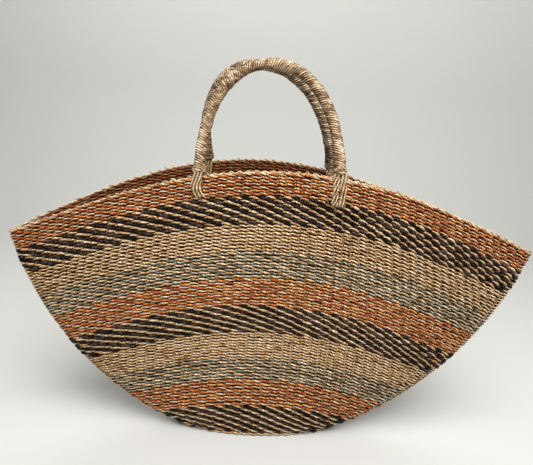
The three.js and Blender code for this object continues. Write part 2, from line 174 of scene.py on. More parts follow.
# The hitches that finish the wrapping
HITCH_TURNS = 2.2
HITCH_POINTS = 90
HITCH_PITCH = 1.5 * MM
HITCH_RADIUS = 6.5 * MM
HITCH_UNEVENNESS = 0.35 * MM
HITCH_WAVE = 7  # radians of that unevenness in one turn
HITCH_DIAMETER = 2.3 * MM
HITCH_LAY = 4.5 * MM
LEFT_HITCH = 2.2 * MM  # from the left foot
RIGHT_HITCH = 5.4 * MM  # from the right foot

# Cords that carry the grips, with the sizes that the part's source has
CORD_DIAMETER = 3.1 * MM
CORD_PITCH = 3.5 * MM
CORD_CLEARANCE = 0.45 * MM
CORD_BEND = 2.2 * MM  # radius of the cord's middle line where it turns into the wall
LEG_SHARES = (0.15, 0.4, 0.65, 0.85)  # points of a cord between the rim and the hole, as shares of the way
CORD_POINTS = 120
# Grip, end, name, cords and how far below the rim they go through the wall
FEET = [
    ("front", -1, "front_left", 3, 23 * MM),
    ("front", 1, "front_right", 4, 30 * MM),
    ("back", -1, "back_left", 3, 34 * MM),
    ("back", 1, "back_right", 3, 34 * MM),
]
PAIR_GAP = 1.0 * MM  # more room between the two pairs at the front grip's right foot
BEND_LEFT = 3.2 * MM  # the cords at the front grip's left foot swing out by about this on their way down
BEND_RIGHT = 2.6 * MM  # and end this far to the right
ROUTE_STEPS = 12  # steps between two points of a cord's route, before they are spaced evenly
# Plies: lay is how far along a cord one turn of them takes. Some cords have come loose.
TIGHT_LAY = 17 * MM
TIGHT_CORD = 3.2 * MM
LOOSE_LAY = 45 * MM
LOOSE_CORD = 3.4 * MM
# A ply's sizes, as shares of its cord's diameter
PLY_OFFSET = 0.24  # from the cord's middle line to the ply's
PLY_WIDTH = 0.66
PLY_THICKNESS = 0.6
PLY_SIDES = 8

# The photograph's viewpoint and frame
PHOTO_WIDTH = 533
FOCAL_PIXELS = 491.5
SENSOR_WIDTH = 36
CAMERA_PLACE = (-5.0 * MM, -569.3 * MM, 405 * MM)
CAMERA_PITCH = 0.2462  # radians below level
CAMERA_ROLL = 0.0429

# Backdrop: a strip of paper that lies on the floor and bends up into a wall
PAPER_HALF_WIDTH = 4
PAPER_FRONT = -3
PAPER_FLAT_END = 0.9
PAPER_BEND = 0.5
PAPER_BEND_STEPS = 16
PAPER_TOP = 3.5

# Light
ROOM_LIGHT = 0.22
ROOM_AS_SEEN = 0.72  # the camera sees the room about as pale as the paper
# Name, place and side in metres, and watts
LAMPS = (
    ("skylight", (0.2, -0.8, 1.6), 1.4, 50),
    ("window", (-0.9, -1.8, 1.0), 1.4, 3),
    ("rear_window", (-0.2, 1.0, 1.5), 1.2, 7),
)
LAMP_TARGET = (0, 0, 0.2)


# Camera
def add_camera():
    data = bpy.data.cameras.new("camera")
    data.sensor_width = SENSOR_WIDTH
    data.lens = FOCAL_PIXELS / PHOTO_WIDTH * SENSOR_WIDTH
    camera = bpy.data.objects.new("camera", data)
    bpy.context.collection.objects.link(camera)
    camera.matrix_world = (
        Matrix.Translation(Vector(CAMERA_PLACE))
        @ Euler((math.pi / 2 - CAMERA_PITCH, 0, 0)).to_matrix().to_4x4()
        @ Matrix.Rotation(CAMERA_ROLL, 4, "Z")
    )
    bpy.context.scene.camera = camera


# Points of the wall. level runs from 0 on the ground to 1 at the rim, along from -1 to 1 between the tips.
def wall_sizes(level, inset=0.0):
    spread = level * (1 + SIDE_FLARE * (1 - level))
    half_length = BASE_LENGTH / 2 + (LENGTH - BASE_LENGTH) / 2 * spread - inset
    straight = BASE_DEPTH / 2 * (1 - level) + MOUTH_DEPTH / 2 * level
    return half_length, straight + 4 * BELLY * level * (1 - level) - inset


def wall_point(level, along, side, inset=0.0):
    """A point at an inset from the outer face, on the front where side is -1 and the back where it is 1."""
    half_length, half_depth = wall_sizes(level, inset)
    inward = np.maximum(1 - along**2, 0)
    middle = RIM_HEIGHT * level
    end = (RIM_HEIGHT - TIP_DROP) * np.maximum(level, 0) ** END_RISE
    shoulder = 1 - SHOULDER_FALL * level * (1 - inward)
    twist = np.where(side > 0, -BACK_TWIST, FRONT_TWIST) * level**2 * along * inward / TWIST_PEAK
    x = RIM_LEAN * (level - 1) + half_length * along
    y = side * half_depth * inward ** (0.5 + 0.5 * level)
    z = end + (middle - end) * inward * shoulder + twist
    return np.stack(np.broadcast_arrays(x, y, z), -1)


# Lines of points
COURSE_POINTS = 1600
TIP_ROUNDING = 1.6 * MM
ROUNDING_REACH = 8  # points on each side that the rounding takes in


def unit(vectors):
    return vectors / np.maximum(np.linalg.norm(vectors, axis=-1, keepdims=True), 1e-12)


def rounded(points, spacing):
    """A closed line with its corners rounded."""
    offsets = np.arange(-ROUNDING_REACH, ROUNDING_REACH + 1)
    weights = np.exp(-0.5 * (offsets * spacing / TIP_ROUNDING) ** 2)
    weights /= weights.sum()
    return sum(weight * np.roll(points, -offset, axis=0) for weight, offset in zip(weights, offsets))


def closed_lengths(points):
    """How far along a closed line each point lies, and last its whole length."""
    steps = np.linalg.norm(np.roll(points, -1, axis=0) - points, axis=1)
    return np.concatenate([[0], np.cumsum(steps)])


def between(where, known, points):
    """The points at the places where, on a line through points at the places known."""
    return np.stack([np.interp(where, known, points[:, axis]) for axis in range(3)], -1)


def evenly(line, count):
    """Evenly spaced points on a line, and its length."""
    walked = np.concatenate([[0], np.cumsum(np.linalg.norm(np.diff(line, axis=0), axis=1))])
    return between(np.linspace(0, walked[-1], count), walked, line), walked[-1]


class Course:
    """The middle line of the wall at one level, anticlockwise from the middle of the front, with its
    directions and its count of warps. A course stands for one row, step high as a share of the rim."""

    def __init__(self, level, step):
        turn = np.linspace(0, 4, 4 * COURSE_POINTS, endpoint=False)
        lengths = closed_lengths(self.line(level, turn))
        spacing = lengths[-1] / COURSE_POINTS
        even = np.arange(COURSE_POINTS) * lengths[-1] / COURSE_POINTS
        turn = np.interp(even, lengths, np.append(turn, 4))
        top = min(level + step / 2, 1)
        bottom = max(level - step / 2, 0)
        self.level = level
        self.points = rounded(self.line(level, turn), spacing)
        self.forward = unit(np.roll(self.points, -1, axis=0) - np.roll(self.points, 1, axis=0))
        rise = rounded(self.line(top, turn), spacing) - rounded(self.line(bottom, turn), spacing)
        rise -= self.forward * np.sum(rise * self.forward, axis=1, keepdims=True)
        self.row_height = np.linalg.norm(rise, axis=1) * (step / (top - bottom))
        self.up = unit(rise)
        self.out = np.cross(self.forward, self.up)
        self.place_warps(turn)

    @staticmethod
    def line(level, turn):
        """Points for a turn that runs from 0 to 4, with a tip at 1 and at 3."""
        along = np.sin(turn * math.pi / 2)
        side = np.where((turn % 4 < 1) | (turn % 4 >= 3), -1, 1)
        return wall_point(level, along, side, WALL / 2)

    def place_warps(self, turn):
        """Warps stand a set distance apart from the middle of the front and back. A little stretch near
        each tip brings the two counts together."""
        lengths = closed_lengths(self.points)
        walked = lengths[:-1]
        total = lengths[-1]
        right, back, left = np.interp((1, 2, 3), turn, walked)
        spacing = np.interp(self.level, WARP_SPACING_LEVELS, WARP_SPACING)
        fan = math.sqrt(WARP_FAN)

        def fanned(distance, reach):
            return reach / fan * np.arctan(fan * distance / reach) / spacing

        half = max(round(fanned(total / 4, total / 4)), 3)
        stretch = min(TIP_STRETCH, total / 8)

        def count(distance, reach):
            gap = half - fanned(reach, reach)
            near = np.clip((distance - (reach - stretch)) / stretch, 0, 1)
            return fanned(distance, reach) + gap * near * near * (3 - 2 * near)

        quarters = [
            count(walked, right),
            2 * half - count(back - walked, back - right),
            2 * half + count(walked - back, left - back),
            4 * half - count(total - walked, total - left),
        ]
        self.warps = np.choose(np.searchsorted((right, back, left), walked, side="right"), quarters)
        self.total = 4 * half

    def at(self, warps):
        """Point, forward, up, out and row height at the given counts of warps."""
        known = np.append(self.warps, self.total)
        wrapped = warps % self.total

        def pick(vectors):
            return between(wrapped, known, np.concatenate([vectors, vectors[:1]]))

        heights = np.append(self.row_height, self.row_height[0])
        directions = [unit(pick(vectors)) for vectors in (self.forward, self.up, self.out)]
        return pick(self.points), *directions, np.interp(wrapped, known, heights)


# Meshes from rings of points
class Tubes:
    """Collects tubes, each an array of rings of points, and makes one mesh of them. Its UV map has the
    millimetres along a tube and the share of a turn round it."""

    def __init__(self):
        self.points = []
        self.faces = []
        self.uvs = []
        self.count = 0

    def add(self, rings, closed, caps=False):
        length, sides = rings.shape[:2]
        index = np.arange(length * sides).reshape(length, sides) + self.count
        middle = rings.mean(axis=1)
        steps = np.linalg.norm(np.roll(middle, -1, axis=0) - middle, axis=1)
        along = np.concatenate([[0], np.cumsum(steps)]) / MM
        around = (np.arange(sides + 1) + 0.5) / sides
        rows = np.arange(length if closed else length - 1)
        here = index[rows]
        there = index[(rows + 1) % length]
        quads = np.stack([here, np.roll(here, -1, axis=1), np.roll(there, -1, axis=1), there], -1)
        u0 = np.repeat(along[rows][:, None], sides, axis=1)
        u1 = np.repeat(along[rows + 1][:, None], sides, axis=1)
        v0 = np.repeat(around[None, :-1], len(rows), axis=0)
        v1 = np.repeat(around[None, 1:], len(rows), axis=0)
        uv = np.stack([np.stack(pair, -1) for pair in ((u0, v0), (u0, v1), (u1, v1), (u1, v0))], 2)
        self.points.append(rings.reshape(-1, 3))
        self.faces.append(quads.reshape(-1, 4))
        self.uvs.append(uv.reshape(-1, 2))
        self.count += length * sides
        if caps:
            self.cap(rings[0], index[0][::-1])
            self.cap(rings[-1], index[-1])

    def cap(self, ring, index):
        """Closes one end with four-cornered faces round a point in its middle."""
        self.points.append(ring.mean(axis=0)[None])
        centre = self.count
        self.count += 1
        sides = len(index)
        for k in range(0, sides, 2):
            corners = [index[k], index[(k + 1) % sides], index[(k + 2) % sides], centre]
            self.faces.append(np.array([corners]))
            self.uvs.append(np.zeros((4, 2)))

    def mesh(self, name, material):
        points = np.concatenate(self.points)
        faces = np.concatenate(self.faces).astype(np.int32)
        data = bpy.data.meshes.new(name)
        data.vertices.add(len(points))
        data.vertices.foreach_set("co", points.astype(np.float32).ravel())
        data.loops.add(faces.size)
        data.loops.foreach_set("vertex_index", faces.ravel())
        data.polygons.add(len(faces))
        data.polygons.foreach_set("loop_start", np.arange(0, faces.size, 4, dtype=np.int32))
        data.polygons.foreach_set("loop_total", np.full(len(faces), 4, dtype=np.int32))
        data.polygons.foreach_set("use_smooth", np.ones(len(faces), dtype=bool))
        layer = data.uv_layers.new(name="along_and_around")
        layer.data.foreach_set("uv", np.concatenate(self.uvs).astype(np.float32).ravel())
        data.update()
        data.validate()
        data.materials.append(material)
        piece = bpy.data.objects.new(name, data)
        bpy.context.collection.objects.link(piece)
        return piece


def rings_round(path, wide, thick, sideways, closed, sides):
    """Rings of points round a path. sideways points across it at each point, where the section is wide."""
    if closed:
        forward = unit(np.roll(path, -1, axis=0) - np.roll(path, 1, axis=0))
    else:
        forward = unit(np.gradient(path, axis=0))
    across = unit(sideways - forward * np.sum(sideways * forward, axis=1, keepdims=True))
    other = np.cross(forward, across)
    angles = (np.arange(sides) + 0.5) / sides * 2 * math.pi
    wide = np.broadcast_to(wide, len(path))[:, None, None]
    thick = np.broadcast_to(thick, len(path))[:, None, None]
    return (
        path[:, None]
        + across[:, None] * np.cos(angles)[None, :, None] * wide / 2
        + other[:, None] * np.sin(angles)[None, :, None] * thick / 2
    )


def twisted(tubes, path, length, diameter, lay):
    """Adds two plies wound round one line. lay is how far along it one turn takes."""
    forward = unit(np.gradient(path, axis=0))
    # any direction that the line doesn't start off along will do
    level = abs(forward[0][2]) < 0.5
    across = unit(np.cross(forward, [0.3, 0.2, 1.0] if level else [1.0, 0.2, 0.1]))
    other = np.cross(forward, across)
    turn = np.linspace(0, length, len(path)) / lay * 2 * math.pi
    for half in (0, math.pi):
        away = across * np.cos(turn + half)[:, None] + other * np.sin(turn + half)[:, None]
        ply = path + away * diameter * PLY_OFFSET
        rings = rings_round(ply, diameter * PLY_WIDTH, diameter * PLY_THICKNESS, away, False, PLY_SIDES)
        tubes.add(rings, False, caps=True)


# Sizes and strengths of the materials' patterns
FIBRE_WIDTH = 1 * MM
FIBRE_STRETCH = 0.15  # a fibre is some seven times as long as it is wide before another lies over it
STITCH_PATCH = 100 * MM / 13  # length of a patch of one shade, about one stitch
DRIFT_PATCH = 40 * MM  # length of a faint drift that runs over several stitches
PATCH_FLATNESS = 2.6  # how many times as long as it is high a patch or drift is
DRIFT_STRENGTH = 0.35  # beside the fibres, which have 1
SHADE_MIDDLE = 0.65  # fibres and drifts together, where the colour is the main one or near it
SHADE_BELOW = 0.26  # to the darkest colour
SHADE_ABOVE = 0.25  # to the lightest colour
BUNDLE_PATCH = 10 * MM / 3
BUMP_HEIGHT = 0.5 * MM
FIBRE_BUMP = 1.5  # how much of the bump the fibres have, and the plies
PLY_BUMP = 0.5


# Materials
def linear(hex_colour):
    values = [int(hex_colour[k : k + 2], 16) / 255 for k in (1, 3, 5)]
    return [v / 12.92 if v <= 0.04045 else ((v + 0.055) / 1.055) ** 2.4 for v in values] + [1]


def node(tree, kind, inputs=None, **settings):
    """Adds a node. inputs maps a socket to a value, to another node's output, or to a node, which stands
    for its first output."""
    made = tree.nodes.new(kind)
    for name, value in settings.items():
        setattr(made, name, value)
    for socket, value in (inputs or {}).items():
        if isinstance(value, bpy.types.Node):
            value = value.outputs[0]
        if isinstance(value, bpy.types.NodeSocket):
            tree.links.new(value, made.inputs[socket])
        else:
            made.inputs[socket].default_value = value
    return made


def empty_material(name):
    material = bpy.data.materials.new(name)
    material.use_nodes = True
    material.node_tree.nodes.clear()
    return material, material.node_tree


def spread_colours(ramp, *colours):
    """Gives a ramp its colours, evenly spread."""
    elements = ramp.color_ramp.elements
    elements[0].color = linear(colours[0])
    elements[1].color = linear(colours[-1])
    for k, colour in enumerate(colours[1:-1], 1):
        elements.new(k / (len(colours) - 1)).color = linear(colour)


def fibre_shade(tree, fibres, stitch, drift, patchy):
    """Light and dark fibres, each stitch a little unlike the next, from 0 to 1."""
    faint = node(tree, "ShaderNodeMath", {0: drift, 1: DRIFT_STRENGTH}, operation="MULTIPLY")
    patches = node(tree, "ShaderNodeMath", {0: stitch, 1: patchy}, operation="MULTIPLY")
    shade = node(tree, "ShaderNodeMath", {0: fibres, 1: patches}, operation="ADD")
    shade = node(tree, "ShaderNodeMath", {0: shade, 1: faint}, operation="ADD")
    middle = SHADE_MIDDLE + 0.5 * patchy
    limits = {"From Min": middle - SHADE_BELOW, "From Max": middle + SHADE_ABOVE}
    return node(tree, "ShaderNodeMapRange", {"Value": shade, **limits})


def painted_strand_shade(tree, ridges, round_strand, groove, inner, under, above):
    """Painted shade: how much light would reach each side of a strand and the grooves between its plies, as
    a share that darkens its colour.
    """
    angle = node(tree, "ShaderNodeMath", {0: round_strand, 1: 2 * math.pi}, operation="MULTIPLY")
    # facing goes from 1 on the side that faces out of the basket to -1 on the inner one
    facing = node(tree, "ShaderNodeMath", {0: angle}, operation="SINE")
    # rising goes from 1 on top of the strand to -1 under it
    rising = node(tree, "ShaderNodeMath", {0: angle}, operation="COSINE")
    painted_shade = None
    # each is darkest, by its share, up to the first limit, and has its full light from the second one on
    for value, darkest, full, share in (
        (ridges, -1.0, 0.1, groove),
        (facing, -0.5, 0.3, inner),
        (rising, -0.75, 0.35, under),
        (rising, 1.0, 0.7, above),
    ):
        limits = {"From Min": darkest, "From Max": full, "To Min": 1 - share}
        lit = node(tree, "ShaderNodeMapRange", {"Value": value, **limits})
        if painted_shade is None:
            painted_shade = lit
        else:
            painted_shade = node(tree, "ShaderNodeMath", {0: painted_shade, 1: lit}, operation="MULTIPLY")
    return painted_shade


def twine(
    name,
    dark,
    main,
    light,
    around=7.5,
    slope=-0.85,
    ply=2.5,
    patchy=1.0,
    unlike=0,
    groove=0.75,
    inner=0,
    under=0,
    above=0,
    gloss=0.4,
):
    """Sisal twine, two plies twisted together: long hard fibres that show as streaks slanting across the
    strand, with a faint gloss. Real fibres are 0.2 mm wide; they are drawn 1 mm wide, so that they show at
    all. across counts millimetres from ridge to ridge: around says how many one turn round the strand takes,
    slope how many one millimetre along it, ply how many lie between two ridges. Between them the colour is
    darker, by groove, as painted shade in the grooves. patchy is the difference from stitch to stitch, and
    unlike shifts the plies of neighbouring stitches, which don't line up. A strand in the weave has painted
    shade: it is darker by under where it presses on the row below, by above where it presses on the row
    above, and by inner on the side that faces into the basket."""
    material, tree = empty_material(name)
    place = node(tree, "ShaderNodeUVMap", uv_map="along_and_around")
    split = node(tree, "ShaderNodeSeparateXYZ", {"Vector": place})
    along = split.outputs["X"]
    round_strand = split.outputs["Y"]
    forward = node(tree, "ShaderNodeMath", {0: along, 1: slope}, operation="MULTIPLY")
    turned = node(tree, "ShaderNodeMath", {0: round_strand, 1: around}, operation="MULTIPLY")
    across = node(tree, "ShaderNodeMath", {0: turned, 1: forward}, operation="ADD")
    slow = node(tree, "ShaderNodeMath", {0: along, 1: FIBRE_STRETCH}, operation="MULTIPLY")
    fibre_place = node(tree, "ShaderNodeCombineXYZ", {"X": across, "Y": slow, "Z": round_strand})
    fibre_noise = {"Vector": fibre_place, "Scale": MM / FIBRE_WIDTH, "Detail": 3.0}
    fibres = node(tree, "ShaderNodeTexNoise", fibre_noise)
    position = node(tree, "ShaderNodeTexCoord").outputs["Object"]
    flattening = {0: position, 1: (1, 1, PATCH_FLATNESS)}
    flat = node(tree, "ShaderNodeVectorMath", flattening, operation="MULTIPLY")
    stitch_noise = {"Vector": flat, "Scale": 1 / STITCH_PATCH, "Detail": 1.0}
    stitch = node(tree, "ShaderNodeTexNoise", stitch_noise)
    drift_noise = {"Vector": flat, "Scale": 1 / DRIFT_PATCH, "Detail": 1.0}
    drift = node(tree, "ShaderNodeTexNoise", drift_noise)
    shade = fibre_shade(tree, fibres, stitch, drift, patchy)
    fibre_colour = node(tree, "ShaderNodeValToRGB", {"Fac": shade})
    spread_colours(fibre_colour, dark, main, light)
    shifted = node(tree, "ShaderNodeMath", {0: stitch, 1: unlike}, operation="MULTIPLY")
    shifted = node(tree, "ShaderNodeMath", {0: shifted, 1: across}, operation="ADD")
    phase = node(tree, "ShaderNodeMath", {0: shifted, 1: 2 * math.pi / ply}, operation="MULTIPLY")
    ridges = node(tree, "ShaderNodeMath", {0: phase}, operation="SINE")
    # painted shade, tinted: the darker it is, the browner, as light that reaches a gap has passed between
    # fibres
    painted_shade = painted_strand_shade(tree, ridges, round_strand, groove, inner, under, above)
    gap = node(tree, "ShaderNodeValToRGB", {"Fac": painted_shade})
    spread_colours(gap, "#3C1606", "#A88052", "#FFFFFF")
    colour = node(tree, "ShaderNodeVectorMath", {0: fibre_colour, 1: gap}, operation="MULTIPLY")
    fine = node(tree, "ShaderNodeMath", {0: fibres, 1: FIBRE_BUMP}, operation="MULTIPLY")
    height = node(tree, "ShaderNodeMath", {0: ridges, 1: PLY_BUMP}, operation="MULTIPLY")
    height = node(tree, "ShaderNodeMath", {0: height, 1: fine}, operation="ADD")
    bump = node(tree, "ShaderNodeBump", {"Height": height, "Strength": 0.9, "Distance": BUMP_HEIGHT})
    looks = {"Base Color": colour, "Roughness": 0.6, "Specular IOR Level": gloss, "Normal": bump}
    surface = node(tree, "ShaderNodeBsdfPrincipled", looks)
    node(tree, "ShaderNodeOutputMaterial", {"Surface": surface})
    return material


def painted_shade_fibre(name, dark, light):
    """The warps between the rows: bundles of rough fibre, brown, patchy and very matte, painted near black
    as the shade that the weft casts on them."""
    material, tree = empty_material(name)
    position = node(tree, "ShaderNodeNewGeometry").outputs["Position"]
    noise = {"Vector": position, "Scale": 1 / BUNDLE_PATCH, "Detail": 2.0}
    patches = node(tree, "ShaderNodeTexNoise", noise)
    ramp = node(tree, "ShaderNodeValToRGB", {"Fac": patches})
    spread_colours(ramp, dark, light)
    looks = {"Base Color": ramp, "Roughness": 0.95, "Specular IOR Level": 0.05}
    surface = node(tree, "ShaderNodeBsdfPrincipled", looks)
    node(tree, "ShaderNodeOutputMaterial", {"Surface": surface})
    return material


# under, above, inner and groove are painted shade: they darken the twine's colour where strands press on the
# rows or plies beside them, on the side facing into the basket or into a grip's arch, and in the grooves
# between plies
WOVEN = {"under": 0.75, "above": 0.6, "inner": 0.5, "groove": 0.6, "unlike": 8.0}  # twine in the weave
BINDING = {"groove": 0.6, "unlike": 8.0}
CORD = {"groove": 0.45, "under": 0.85, "patchy": 0.6}
WOUND = {
    "around": TURN_STARTS * TURN_PITCH / MM,
    "slope": 1.0,
    "ply": TURN_PITCH / MM,
    "patchy": 0.9,
    "inner": 0.25,
}
TWINES = {
    "natural": twine("sisal_twine_undyed", "#B07E3A", "#FFE2AE", "#FFF8E0", **WOVEN),
    "rust": twine("sisal_twine_rust", "#7E3004", "#D87428", "#FFBE76", **WOVEN),
    "dark": twine("sisal_twine_dark_brown", "#030101", "#100806", "#6A5A54", gloss=0.12, **WOVEN),
    "sage": twine("sisal_twine_grey_green", "#53574A", "#98A08C", "#E0E6D8", **WOVEN),
    "rim": twine("sisal_twine_binding", "#A06E30", "#F2D49E", "#FFF4DA", **BINDING),
    "cord": twine("sisal_cord", "#64421E", "#D6B688", "#FFF4D8", **CORD),
    "grip": twine("sisal_twine_wound", "#54402A", "#AC946E", "#FFF2D8", **WOUND),
    "warp": painted_shade_fibre("sisal_warp_painted_shade", "#140C07", "#3A2616"),
}


# Weaving
def wandering(total, spread, every=1):
    """Small random departures, one for every so many warps, joined by straight lines round the course."""
    knots = int(total // every)
    values = rng.normal(0, spread, knots)
    places = np.arange(knots + 1) * total / knots
    return lambda warps: np.interp(warps % total, places, np.append(values, values[0]))


def strand_rings(course, row, which, fullness, slant, forward):
    """One of the two strands of a row. It lies outside every other warp and inside the ones between."""
    warps = np.arange(0, course.total, 1 / STEPS_PER_WARP)
    point, _, up, out, row_height = course.at(warps)
    phase = math.pi * (warps + which + row)
    swing = np.cos(phase)
    loose = wandering(course.total, LOOSE_STITCH)(warps)
    crooked = wandering(course.total, CROOKED_STITCH)(warps)
    plump = wandering(course.total, PLUMP_STITCH)(warps)
    drift = wandering(course.total, ROW_DRIFT, every=DRIFT_WARPS)(warps)
    outward = forward + STITCH_OUT * swing + loose * np.abs(swing)
    upward = row_height * (STITCH_ARCH * swing - slant * np.sin(phase)) + crooked + drift
    path = point + out * outward[:, None] + up * upward[:, None]
    filled = np.minimum(row_height, FULL_ROW + GAP_FILLING * (row_height - FULL_ROW))
    swelling = CROSSING_HEIGHT + (1 - CROSSING_HEIGHT) * swing * swing
    wide = filled * fullness * swelling * (1 + plump)
    thick = np.minimum(wide * STRAND_ROUNDNESS, THICKEST_STRAND)
    rings = rings_round(path, wide, thick, up, True, STRAND_SIDES)
    rings[..., 2] = np.maximum(rings[..., 2], LOWEST_TWINE)
    return rings


def weave():
    """The bands, each with a piece for its dye and, but for the natural ones, one for the plain strands.
    The row on the ground is all plain twine."""
    edge = 1 - RIM_BINDING / RIM_HEIGHT
    courses = []
    for number, (name, dye, height, rows) in enumerate(BANDS, 1):
        low = edge - height / RIM_HEIGHT if height else 0
        step = (edge - low) / rows
        dyed = Tubes()
        plain = Tubes()
        for k in range(rows):
            row = len(courses)
            course = Course(edge - (k + 0.5) * step, step)
            courses.append(course)
            on_ground = height is None and k == rows - 1
            stitch = STITCHES["natural" if on_ground else dye]
            first = strand_rings(course, row, 0, stitch["dyed"], stitch["slant"], stitch["forward"])
            second = strand_rings(course, row, 1, stitch["plain"], stitch["slant"], -stitch["forward"])
            (plain if on_ground else dyed).add(first, True)
            (dyed if dye == "natural" else plain).add(second, True)
        piece = dyed.mesh(f"{dye}_rows_{number:02}", TWINES[dye])
        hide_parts(name)
        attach(piece, "body")
        if plain.points:
            piece = plain.mesh(f"natural_rows_{number:02}", TWINES["natural"])
            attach(piece, "body")
        edge = low
    return courses


# Warps: thin upright ribs inside the wall, joined in one sheet that also closes the gaps between rows
# the sheet's near-black colour is painted shade, in the gaps between rows and on the ribs
def add_warps(courses):
    lines = []
    for course in courses[::2] + [courses[-1]]:
        warps = np.linspace(0, 1, RIB_COLUMNS, endpoint=False) * course.total
        point, _, _, out, _ = course.at(warps)
        lines.append((point, out, np.cos(2 * math.pi * warps)))
    sheet = Tubes()
    for facing in (1, -1):
        rings = np.stack(
            [point + out * (RIB_THICKNESS / 2 * (facing + rib))[:, None] for point, out, rib in lines]
        )
        if facing > 0:
            rings = rings[:, ::-1]
        sheet.add(rings, False)
    piece = sheet.mesh("warp_ribs", TWINES["warp"])
    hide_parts("warp_spokes")
    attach(piece, "body")


# Rim binding: a twine wound over the edge, one fat turn for every warp, each its own size
def add_rim():
    binding = Tubes()
    step = RIM_BINDING / RIM_HEIGHT
    course = Course(1 - step / 2, step)
    warps = np.arange(0, course.total, 1 / RIM_STEPS_PER_WARP)
    point, forward, up, out, _ = course.at(warps)
    turn = 2 * math.pi * warps
    rise = RIM_TURN_RISE + wandering(course.total, RIM_UNEVENNESS)(warps)
    drop = RIM_TURN_DROP - wandering(course.total, RIM_UNEVENNESS)(warps)
    path = point + up * (rise * np.cos(turn) - drop)[:, None] + out * (RIM_TURN_OUT * np.sin(turn))[:, None]
    wide = RIM_TWINE_WIDTH + wandering(course.total, RIM_UNEVENNESS)(warps)
    binding.add(rings_round(path, wide, RIM_TWINE_THICKNESS, forward, True, STRAND_SIDES), True)
    core = point - up * RIM_CORE_DROP
    binding.add(rings_round(core, RIM_CORE_WIDTH, RIM_CORE_THICKNESS, out, True, STRAND_SIDES), True)
    piece = binding.mesh("rim_binding", TWINES["rim"])
    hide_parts("rim_border")
    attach(piece, "body")


# Base mat: ovals of twining round the long narrow start
def add_base():
    mat = Tubes()
    turn = np.linspace(0, 2 * math.pi, OVAL_STEPS, endpoint=False)
    for row in range(BASE_ROWS):
        half_length, half_depth = FIRST_OVAL + (LAST_OVAL - FIRST_OVAL) * row / (BASE_ROWS - 1)
        x = half_length * np.sin(turn) - RIM_LEAN
        y = -half_depth * np.cos(turn)
        line = np.stack([x, y, np.full(OVAL_STEPS, BASE_ROW_HEIGHT)], -1)
        lengths = closed_lengths(line)
        total = 2 * round(lengths[-1] / BASE_WARP_SPACING / 2)
        warps = np.arange(0, total, 1 / STEPS_PER_WARP)
        path = between(warps / total * lengths[-1], lengths, np.concatenate([line, line[:1]]))
        forward = unit(np.roll(path, -1, axis=0) - np.roll(path, 1, axis=0))
        inward = unit(np.cross([0, 0, 1.0], forward))
        for which in (0, 1):
            phase = math.pi * (warps + which + row)
            swing = np.cos(phase)
            laid = path + inward * (BASE_SWING * np.sin(phase))[:, None]
            laid[:, 2] -= BASE_SWING * swing
            wide = BASE_STRAND_NARROW + BASE_STRAND_SWELL * swing * swing
            rings = rings_round(laid, wide, BASE_STRAND_THICKNESS, inward, True, STRAND_SIDES)
            mat.add(rings, True)
    piece = mat.mesh("base_rows", TWINES["natural"])
    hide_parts("base_mat")
    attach(piece, "body")


# Grips
def foot_of(grip, end):
    along = (end * grip["span"] / 2 + grip["shift"]) / (LENGTH / 2)
    return wall_point(1.0, np.array(along), grip["side"], WALL / 2).reshape(3)


def lean_of(grip):
    """A grip leans in until it meets the other one."""
    depth = abs(foot_of(grip, -1)[1] + foot_of(grip, 1)[1]) / 2
    return math.asin((depth - (GRIP_DIAMETER + GRIP_GAP) / 2) / GRIP_RISE)


def foot_rise(grip):
    return GRIP_DIAMETER / 2 * math.sin(lean_of(grip)) + SEAM


def arch(grip):
    """A grip's middle line from its left foot to its right one, and the direction of its rise."""
    lift = np.array([0, 0, foot_rise(grip)])
    lean = lean_of(grip)
    left = foot_of(grip, -1) + lift
    right = foot_of(grip, 1) + lift
    up = np.array([0, -grip["side"] * math.sin(lean), math.cos(lean)])
    angle = np.pi * (1 - np.linspace(0, 1, ARCH_POINTS))
    cosine = np.cos(angle)
    reach = np.sign(cosine) * np.abs(cosine) ** (2 / ARCH_POWER)
    rise = np.maximum(np.sin(angle), 0) ** (2 / ARCH_POWER)
    line = left + (right - left) * ((1 + reach) / 2)[:, None] + up * (GRIP_RISE * rise)[:, None]
    line[:, 0] += grip["skew"] * rise
    return line, up


def wrap_radius(distance, length, angles):
    """The wrapping's radius at each distance along a grip and each angle round it."""
    round_grip = angles[None] / (2 * math.pi)
    along = distance[:, None] / TURN_PITCH
    turns = along + TURN_STARTS * (round_grip + 0.5 / GRIP_SIDES)
    ridge = np.sqrt(np.maximum(1 - (2 * (turns % 1) - 1) ** 2, 0))
    crossing = np.abs(np.sin(math.pi * (along - TURN_STARTS * round_grip))) - CROSSING_MIDDLE
    number = np.floor(turns).astype(int)
    number -= number.min()
    each_turn = rng.normal(0, UNEVEN_TURN, number.max() + 1)[number]
    lumps = rng.normal(0, GRIP_LUMP, GRIP_LUMPS)
    lumps = np.interp(distance, np.linspace(0, length, GRIP_LUMPS), lumps)
    from_foot = np.minimum(distance, length - distance)
    swell = FOOT_SWELL * np.clip(1 - from_foot / FOOT_LENGTH, 0, 1)
    wound = GRIP_DIAMETER / 2 - TURN_DEPTH + TURN_BULGE * ridge + CROSSING_BULGE * crossing
    return wound + each_turn + (lumps + swell)[:, None]


